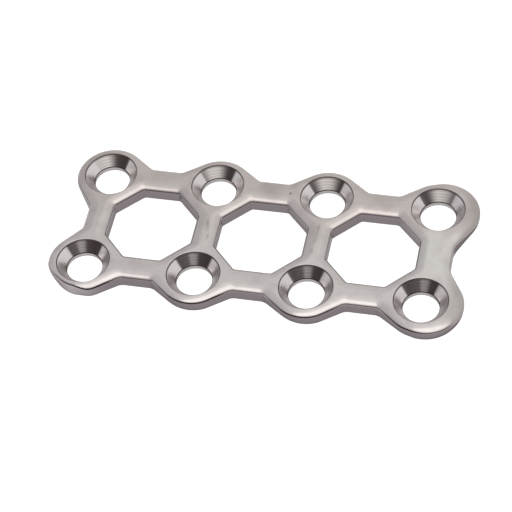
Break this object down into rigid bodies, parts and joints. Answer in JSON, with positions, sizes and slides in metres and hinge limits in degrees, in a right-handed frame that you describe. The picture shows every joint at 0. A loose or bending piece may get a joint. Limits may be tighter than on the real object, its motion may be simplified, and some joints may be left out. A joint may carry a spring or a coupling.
{
  "type": "orthopedic bone plate",
  "caption": "Flat one-piece ladder-shaped bone plate: two rows of countersunk screw holes in rings, joined by rails and rungs round eight-sided windows.",
  "frame": {"origin": "middle of the screw-hole grid, on the flat side that lies on the bone", "axes": "+X along the two rows towards the end with the wide rung, +Z out of the bone, from the flat side to the countersunk side"},
  "size_m": [0.0294, 0.0132, 0.0012],
  "materials": {
    "polished_steel": "satin polished, with fine tumbling marks"
  },
  "bodies": {
    "root": {"bone_plate": "polished_steel"}
  },
  "joints": []
}
